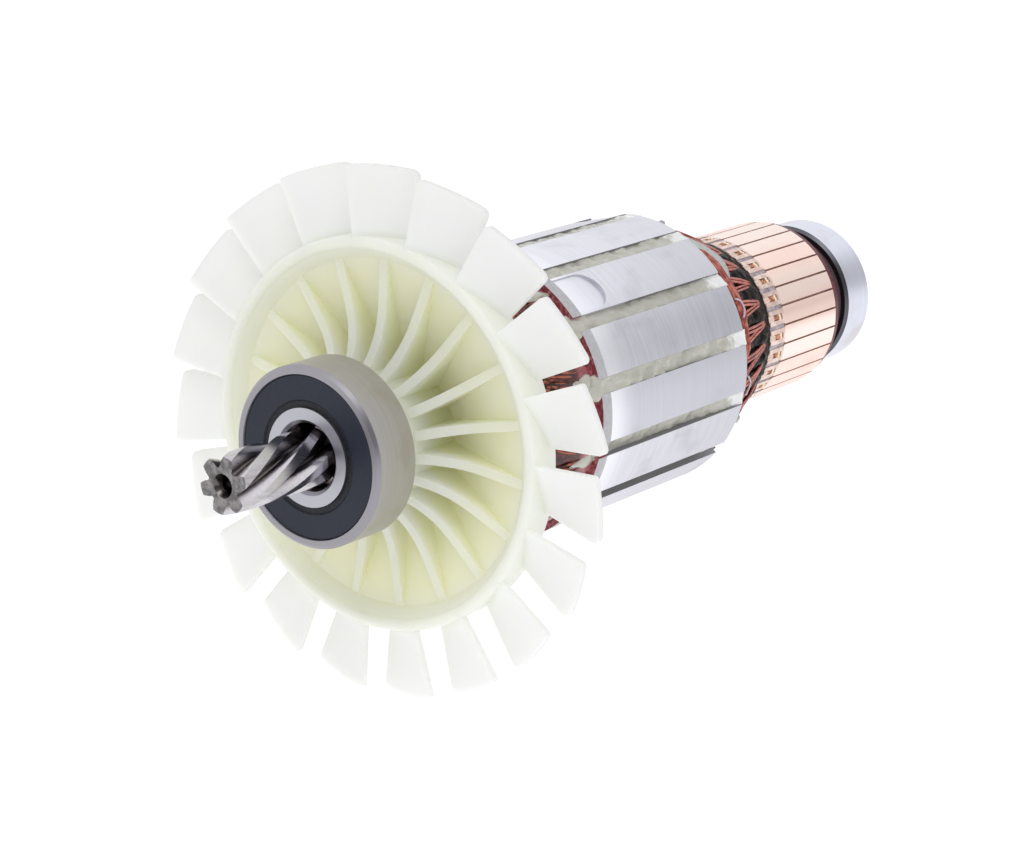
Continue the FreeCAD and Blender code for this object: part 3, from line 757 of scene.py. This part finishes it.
def strip_section(share, slot, start, stop):
    """Points round a resin strip at a share of the way between its two ends."""
    x = start + (stop - start) * share
    middle = slot_angle(slot)
    front, centre, rear = slot_fill.get(slot, hidden_fill)[:3]
    sink = front + (centre - front) * clamp(share * 3) + (rear - centre) * clamp(share * 3 - 2)
    whole = clamp(min((x - start) / round_lengths[0], (stop - x) / round_lengths[1]))
    end = math.sqrt(1 - (1 - whole) ** 2)
    bulge = clamp(1 - (x - start) / bulge_lengths[0])
    bulge += 0.35 * clamp(1 - (stop - x) / bulge_lengths[1])
    half = slot_half_width + strip_overlap
    if x < core_x - 0.1:
        half += spill_width * clamp(bulge * 1.3) * (0.8 + 0.4 * rough(x, 20, middle, 0.8, 4))
    narrowed = half * (0.4 + 0.6 * end)
    floor = core_radius - strip_end_depth
    low = core_radius - strip_depth
    outline = []
    for side in strip_across:
        radius = strip_top(x, side, slot, sink)
        if x < core_x:
            radius += spill_height * bulge
        radius = min(radius, core_radius - strip_clearance)
        outline.append((side * narrowed, floor + (radius - floor) * (0.25 + 0.75 * end)))
    outline += [(narrowed, low), (-narrowed, low)]
    return [spot(x, radius, middle + math.degrees(math.asin(offset / radius)))
            for offset, radius in outline]


def resin_strips(finish):
    """Poured resin in the slots: a sunken, lumpy top between the lips, and both ends run out."""
    points = []
    faces = []
    columns = len(strip_across) + 2
    for slot in range(slot_count):
        first = len(points)
        start = disc_x - strip_front_reach + 0.6 * rough(slot, 9, 50, 1.3)
        stop = rear_disc_x + strip_rear_reach + 0.4 * rough(slot, 3, 10, 1.7)
        for row in range(strip_rows):
            points += strip_section(row / (strip_rows - 1), slot, start, stop)
        faces += grid_faces(strip_rows, columns, first, closed=True)
        faces.append(tuple(range(first, first + columns)))
        faces.append(tuple(range(len(points) - columns, len(points)))[::-1])
    piece = add_mesh("resin_strips", points, faces, finish)
    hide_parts("slot_wedges")


# Blobs where resin ran over the fan end: place, radius, angle, and half sizes along, out and round
resin_blobs = [
    (43.2, 25.1, 77.2, 2.9, 1.1, 2.7), (45.4, 25.4, 76.4, 2.6, 0.8, 1.9),
    (40.3, 25.5, 74.6, 2.7, 0.7, 2.0), (43.4, 23.4, 82.5, 1.1, 1.7, 1.4),
    (43.7, 25.0, 51.8, 1.9, 1.0, 2.2), (42.0, 24.7, 48.6, 1.3, 0.8, 1.4),
    (43.5, 25.0, 25.2, 1.7, 0.9, 2.0), (43.4, 24.8, 102.0, 1.5, 0.9, 1.8),
    (43.3, 24.8, 0.2, 1.5, 0.9, 1.8), (40.4, 25.6, 33.0, 3.6, 0.5, 1.1),
    (40.8, 25.45, 105.6, 3.2, 0.45, 1.3), (43.4, 24.9, 154.5, 1.6, 0.9, 2.0),
    (43.6, 25.0, 205.3, 1.8, 1.0, 2.1), (43.4, 24.8, 256.6, 1.6, 0.9, 1.9),
    (43.5, 24.9, 308.2, 1.7, 0.9, 2.0)]
# Grey drops on the rear rim, in the same form
rim_blobs = [(92.3, 25.4, 12.5, 0.9, 0.8, 0.9), (92.3, 25.4, 114.2, 0.9, 0.8, 0.9),
             (92.3, 25.4, 232.0, 0.9, 0.7, 0.9)]


def add_blobs(name, blobs, finish):
    """Piece of uneven lumps."""
    points = []
    faces = []
    rings, sides = 14, 20
    for number, (x, radius, angle, along, out, round_half) in enumerate(blobs):
        first = len(points)
        for ring in range(rings + 1):
            tilt = math.pi * ring / rings
            for side in range(sides):
                turn = 2 * math.pi * side / sides
                direction = Vector((math.cos(tilt), math.sin(tilt) * math.cos(turn),
                                    math.sin(tilt) * math.sin(turn)))
                swell = noise.noise(direction * 1.4 + Vector((number * 3.1, 0, 0)))
                ripple = noise.noise(direction * 4.0 + Vector((0, number * 2.3, 0)))
                size = 1 + 0.28 * swell * noise_gain + 0.1 * ripple
                reach = radius + direction.y * out * size
                points.append(spot(x + direction.x * along * size, reach,
                                   angle + math.degrees(direction.z * round_half * size / radius)))
        faces += grid_faces(rings + 1, sides, first, closed=True)
    add_mesh(name, points, faces, finish)


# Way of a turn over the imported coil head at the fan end: place, radius, lean in degrees, and how
# much of its lift goes outwards rather than towards the fan
front_head_path = [(41.9, 25.2, 0.0, 1.0), (39.8, 25.2, 0.6, 1.0), (36.3, 24.95, 2.0, 1.0),
                   (33.0, 23.5, 4.5, 0.8), (31.2, 21.25, 8.5, 0.7), (29.45, 19.0, 15.0, 0.5),
                   (28.1, 16.65, 24.0, 0.3), (27.95, 14.0, 36.0, 0.0), (28.3, 11.6, 50.0, 0.0)]
# Turns that leave a slot each way, the first one's angle from its middle and the step to the next,
# and the lifts of the layers that they lie in
front_strands = 9
front_strand_start = 0.6
front_strand_step = 1.42
front_lifts = (0.05, 0.2, 0.38)


def front_head_turns(finish):
    """Enamelled turns that fan out over the coil head at the fan end, both ways from each slot."""
    lines = []
    for slot in range(slot_count):
        for way in (-1, 1):
            for strand in range(front_strands):
                offset = front_strand_start + front_strand_step * strand
                offset += random.uniform(-0.35, 0.35)
                above = random.choice(front_lifts)
                line = []
                for number, (x, radius, lean, out) in enumerate(front_head_path):
                    if number:
                        lift = above + random.uniform(-0.06, 0.06)
                        x -= lift * (1 - out)
                    else:
                        lift = random.uniform(-0.5, -0.3)
                        x += random.uniform(-1.6, 0.8)
                    angle = slot_angle(slot) + way * (offset + lean)
                    line.append(spot(x, radius + lift * out, angle))
                lines.append(line)
    add_wires("front_head_turns", lines, 0.25, finish)


# Turns over the coil head behind the core: how many start at each slot, the angle that they span,
# and the radius they start at
rear_strands = 4
rear_span = 4 * 360.0 / slot_count
rear_start_radius = 22.4
# Turns that run along the core's rear rim: place, radius, first and last angle
rim_turns = [(93.1, 25.05, 22.0, 97.0), (93.9, 25.15, 26.0, 92.0), (94.7, 24.9, 30.0, 84.0),
             (95.4, 24.5, 34.0, 76.0), (93.1, 25.0, 128.0, 215.0), (93.9, 24.9, 140.0, 222.0),
             (93.1, 25.0, 238.0, 330.0), (93.9, 24.9, 246.0, 318.0)]
# Share of such a turn over which each end dives, and how deep
rim_dive_share = 0.12
rim_dive = 2.2


def rear_head_turns(finish):
    """Enamelled turns that arch over the coil head behind the core, and those along its rim."""
    lines = []
    for slot in range(slot_count):
        for turn in range(rear_strands):
            start = slot_angle(slot) + random.uniform(-2.0, 2.0)
            line = []
            for step in range(9):
                share = step / 8
                bulge = math.sin(math.pi * share)
                x = rear_disc_x - 0.3 + (1.5 + 0.7 * turn) * bulge + random.uniform(-0.12, 0.12)
                radius = rear_start_radius + (1.75 - 0.35 * turn) * bulge ** 0.6
                radius += random.uniform(-0.1, 0.1)
                line.append(spot(x, radius, start + rear_span * share))
            lines.append(line)
    for number, (x, radius, start, stop) in enumerate(rim_turns):
        line = []
        for step in range(15):
            share = step / 14
            dip = rim_dive * (1 - min(1.0, share / rim_dive_share, (1 - share) / rim_dive_share))
            wave = 0.14 * rough(x, 20, start + 90 * share, 0.12, number)
            angle = start + (stop - start) * share
            line.append(spot(x + wave - 0.4 * dip, radius - dip + wave, angle))
        lines.append(line)
    add_wires("rear_head_turns", lines, 0.38, finish)


def head_paper(finish):
    """Varnished paper that stands out over the coils behind the core, on one side."""
    rows, columns = 6, 60
    first_angle, angle_span = 12.0, 44.0
    longest, shortest = 6.3, 0.4
    start_radius, droop = 25.0, 0.10
    points = []
    for row in range(rows):
        share = row / (rows - 1)
        for column in range(columns):
            along = column / (columns - 1)
            angle = first_angle + angle_span * along
            reach = longest * math.sin(math.pi * along ** 1.5) ** 0.8
            reach += 0.3 * rough(3, 20, angle, 0.35, 8)
            x = rear_disc_x + 0.1 + max(shortest, reach) * share
            radius = start_radius - droop * (x - rear_disc_x) + 0.08 * rough(x, 22, angle, 0.3, 9)
            points.append(spot(x, radius, angle))
    piece = add_mesh("head_paper", points, grid_faces(rows, columns), finish)
    wall = piece.modifiers.new("thickness", "SOLIDIFY")
    wall.thickness = 0.25 * mm
    wall.offset = -1.0


# Loose ends of the lacing cord over the rim: place, radius and angle of their points
cord_ends = [[(92.2, 26.0, 60.5), (93.4, 25.9, 61.2), (94.4, 25.6, 63.0), (94.6, 25.5, 65.5),
              (93.9, 25.7, 67.5), (93.0, 25.8, 69.0)],
             [(92.3, 25.9, 94.0), (93.6, 25.6, 96.0), (94.6, 25.2, 98.5), (94.0, 25.4, 101.0),
              (93.0, 25.6, 103.0)],
             [(92.4, 25.8, 250.0), (94.2, 25.6, 253.0), (95.0, 25.2, 258.0), (93.6, 25.6, 261.0)]]


def lacing_cord(finish):
    """Pale cord ends that stick out between the core and the leads."""
    lines = [[spot(*place) for place in line] for line in cord_ends]
    add_wires("lacing_cord", lines, 0.2, finish, detail=4)


# Leads: where they come out from under the coil head and go down at the risers, and how far to
# either side of a riser its two branches start, in degrees
lead_x = cone_x - 0.4
lead_end_x = riser_x - 1.8
lead_shifts = (-2.2, 4.4)


def lead_pairs(finish):
    """Two double leads from the coils to each riser, meeting in a V under the black binding."""
    lines = []
    for riser in range(riser_count):
        for branch, shift in enumerate(lead_shifts):
            shift += random.uniform(-0.7, 0.7)
            for strand in (-1, 1):
                line = []
                for step in range(7):
                    share = step / 6
                    x = lead_x + (lead_end_x - lead_x) * share
                    lean = shift * (1 - share) ** 0.9
                    apart = strand * (0.8 + 0.15 * (1 - share)) * (1 if share < 0.9 else 0.6)
                    lift = 0.38 + 0.45 * (1 - branch) * math.sin(math.pi * min(1, share * 1.2))
                    lift -= 2.5 * max(0, share - 0.84)
                    radius = cone_radius(x) + lift + random.uniform(-0.05, 0.05)
                    angle = riser_angle(riser) + lean + apart * 22.0 / radius
                    line.append(spot(x, radius, angle))
                lines.append(line)
    piece = add_wires("lead_pairs", lines, 0.27, finish)
    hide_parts("riser_leads")


# Way of a bared end into its riser slot: place, radius, turn to its own side, and how far one of
# the two lies over the other
bared_end_path = [(112.6, 16.6, 0.8, 0.0), (113.8, 17.0, 1.0, 0.0), (115.3, 17.08, 1.0, 0.0),
                  (116.2, 16.8, -0.4, 0.12), (117.0, 16.8, -0.9, -0.1), (117.9, 17.1, -0.9, 0.0)]


def lead_ends(finish):
    """Bared wire ends staked into the riser slots, one crossed over the other."""
    lines = []
    for riser in range(riser_count):
        for side in (-1, 1):
            lines.append([spot(x, radius + side * over, riser_angle(riser) + side * turn)
                          for x, radius, turn, over in bared_end_path])
    add_wires("lead_ends", lines, 0.42, finish)


# Black varnish on the cone: its two ends, and the radii of its underside there
skin_x = cone_x + 0.6
skin_end_x = riser_x + 0.25
skin_inner_ends = ((skin_end_x, 15.6), (skin_x, 22.5))
# Where it starts to cover the leads and over what length it does so, and the length of its round end
cover_x = 101.0
cover_length = 7.0
skin_round_length = 1.2
# Where it turns up to the risers, over what length, and how far it stands over the bars
skin_edge_x = riser_x - 2.6
skin_edge_length = 1.6
skin_over_bars = 0.08


def binding_skin(finish):
    """Black varnish over the leads next to the risers, puffed up between them."""
    rows, sides = 26, 448
    points = []
    for row in range(rows):
        x = skin_x + (skin_end_x - skin_x) * (row / (rows - 1))
        cover = clamp((x - cover_x) / cover_length)
        fall = clamp((skin_end_x - x) / skin_round_length)
        edge = clamp((x - skin_edge_x) / skin_edge_length)
        edge_radius = bar_radius + skin_over_bars - 2.5 * max(0.0, x - riser_x)
        for side in range(sides):
            angle = 360.0 * side / sides
            phase = (angle - riser_phase) * riser_count / 360.0
            between = 0.5 - 0.5 * math.cos(2 * math.pi * phase)
            puff = (0.1 + 0.4 * cover) * between ** 0.8 + 0.45 * cover ** 2
            lump = 0.16 * rough(x, 20, angle, 0.45, 3) + 0.12 * rough(x, 20, angle, 1.4, 6)
            puff = (puff + lump * (0.4 + 0.6 * between)) * math.sqrt(fall)
            radius = cone_radius(x) + 0.02 + max(0.0, puff)
            radius += (edge_radius - radius) * edge
            points.append(spot(x, radius, angle))
    for x, radius in skin_inner_ends:
        points += [spot(x, radius, 360.0 * side / sides) for side in range(sides)]
    faces = grid_faces(rows + 2, sides, 0, closed=True)
    last = (rows + 1) * sides
    for side in range(sides):
        right = (side + 1) % sides
        faces.append((last + side, last + right, right, side))
    add_mesh("binding_skin", points, faces, finish)


make_camera()
make_world()
make_floor()
make_area_light("key", (-0.30, -0.25, 0.75), (0.05, 0, 0), (0.45, 0.45), 1.45)
bpy.context.scene.view_settings.view_transform = "Standard"

# The last number of each ring finish is the share of its colour that its end faces keep, as painted
# shade.
steel = ring_finish("ring_steel", (0.50, 0.485, 0.53), 0.38, 0.64)
inner_steel = ring_finish("inner_ring_steel", (0.50, 0.50, 0.55), 0.38, 0.9)
silver = ring_finish("rear_ring_steel", (0.72, 0.74, 0.84), 0.36, 0.16)
seal = seal_finish("seal_rubber", (0.0, 0.0, 0.0))
# Rear inner seal: raised by painted light, as it sits in shade next to the commutator.
lightened_seal = seal_finish("dusty_seal_rubber", (0.17, 0.12, 0.12))
resin = resin_finish()
paper = paper_finish()
binding = binding_finish()
enamel = wire_finish("enamelled_wire", (0.05, 0.010, 0.009), (0.46, 0.13, 0.075), (0.2, 1.3))
rim_enamel = wire_finish("rim_enamel", (0.30, 0.06, 0.05), (0.60, 0.20, 0.14))
lead_enamel = wire_finish("lead_enamel", (0.30, 0.04, 0.03), (0.62, 0.13, 0.075))
bare = staked_finish()

dress(shaft_finish(), "armature_shaft")
dress(inner_steel, "front_bearing_inner_ring", "rear_bearing_inner_ring")
dress(steel, "front_bearing_outer_ring", "front_bearing_balls",
      "rear_bearing_balls", "front_bearing_cage", "rear_bearing_cage", "commutator_bush")
dress(silver, "rear_bearing_outer_ring")
dress(seal, "front_bearing_outer_seal", "front_bearing_inner_seal", "rear_bearing_outer_seal")
dress(lightened_seal, "rear_bearing_inner_seal")
dress(nylon_finish(), "cooling_fan")
dress(lamination_finish(), "lamination_stack")
dress(fibre_finish(), "front_end_disc", "rear_end_disc")
dress(liner_finish(), "core_insulating_sleeve", "slot_liners")
dress(resin, "slot_wedges")
dress(varnish_finish(), "winding")
dress(bare, "riser_leads")
dress(binding, "lead_binding")
dress(bar_finish(), "commutator_bars")
dress(moulding_finish(), "commutator_moulding")

resin_strips(resin)
add_blobs("resin_spills", resin_blobs, resin)
add_blobs("rim_drops", rim_blobs, paper)
head_paper(paper)
lacing_cord(cord_finish())
front_head_turns(enamel)
rear_head_turns(rim_enamel)
lead_pairs(lead_enamel)
lead_ends(bare)
binding_skin(binding)
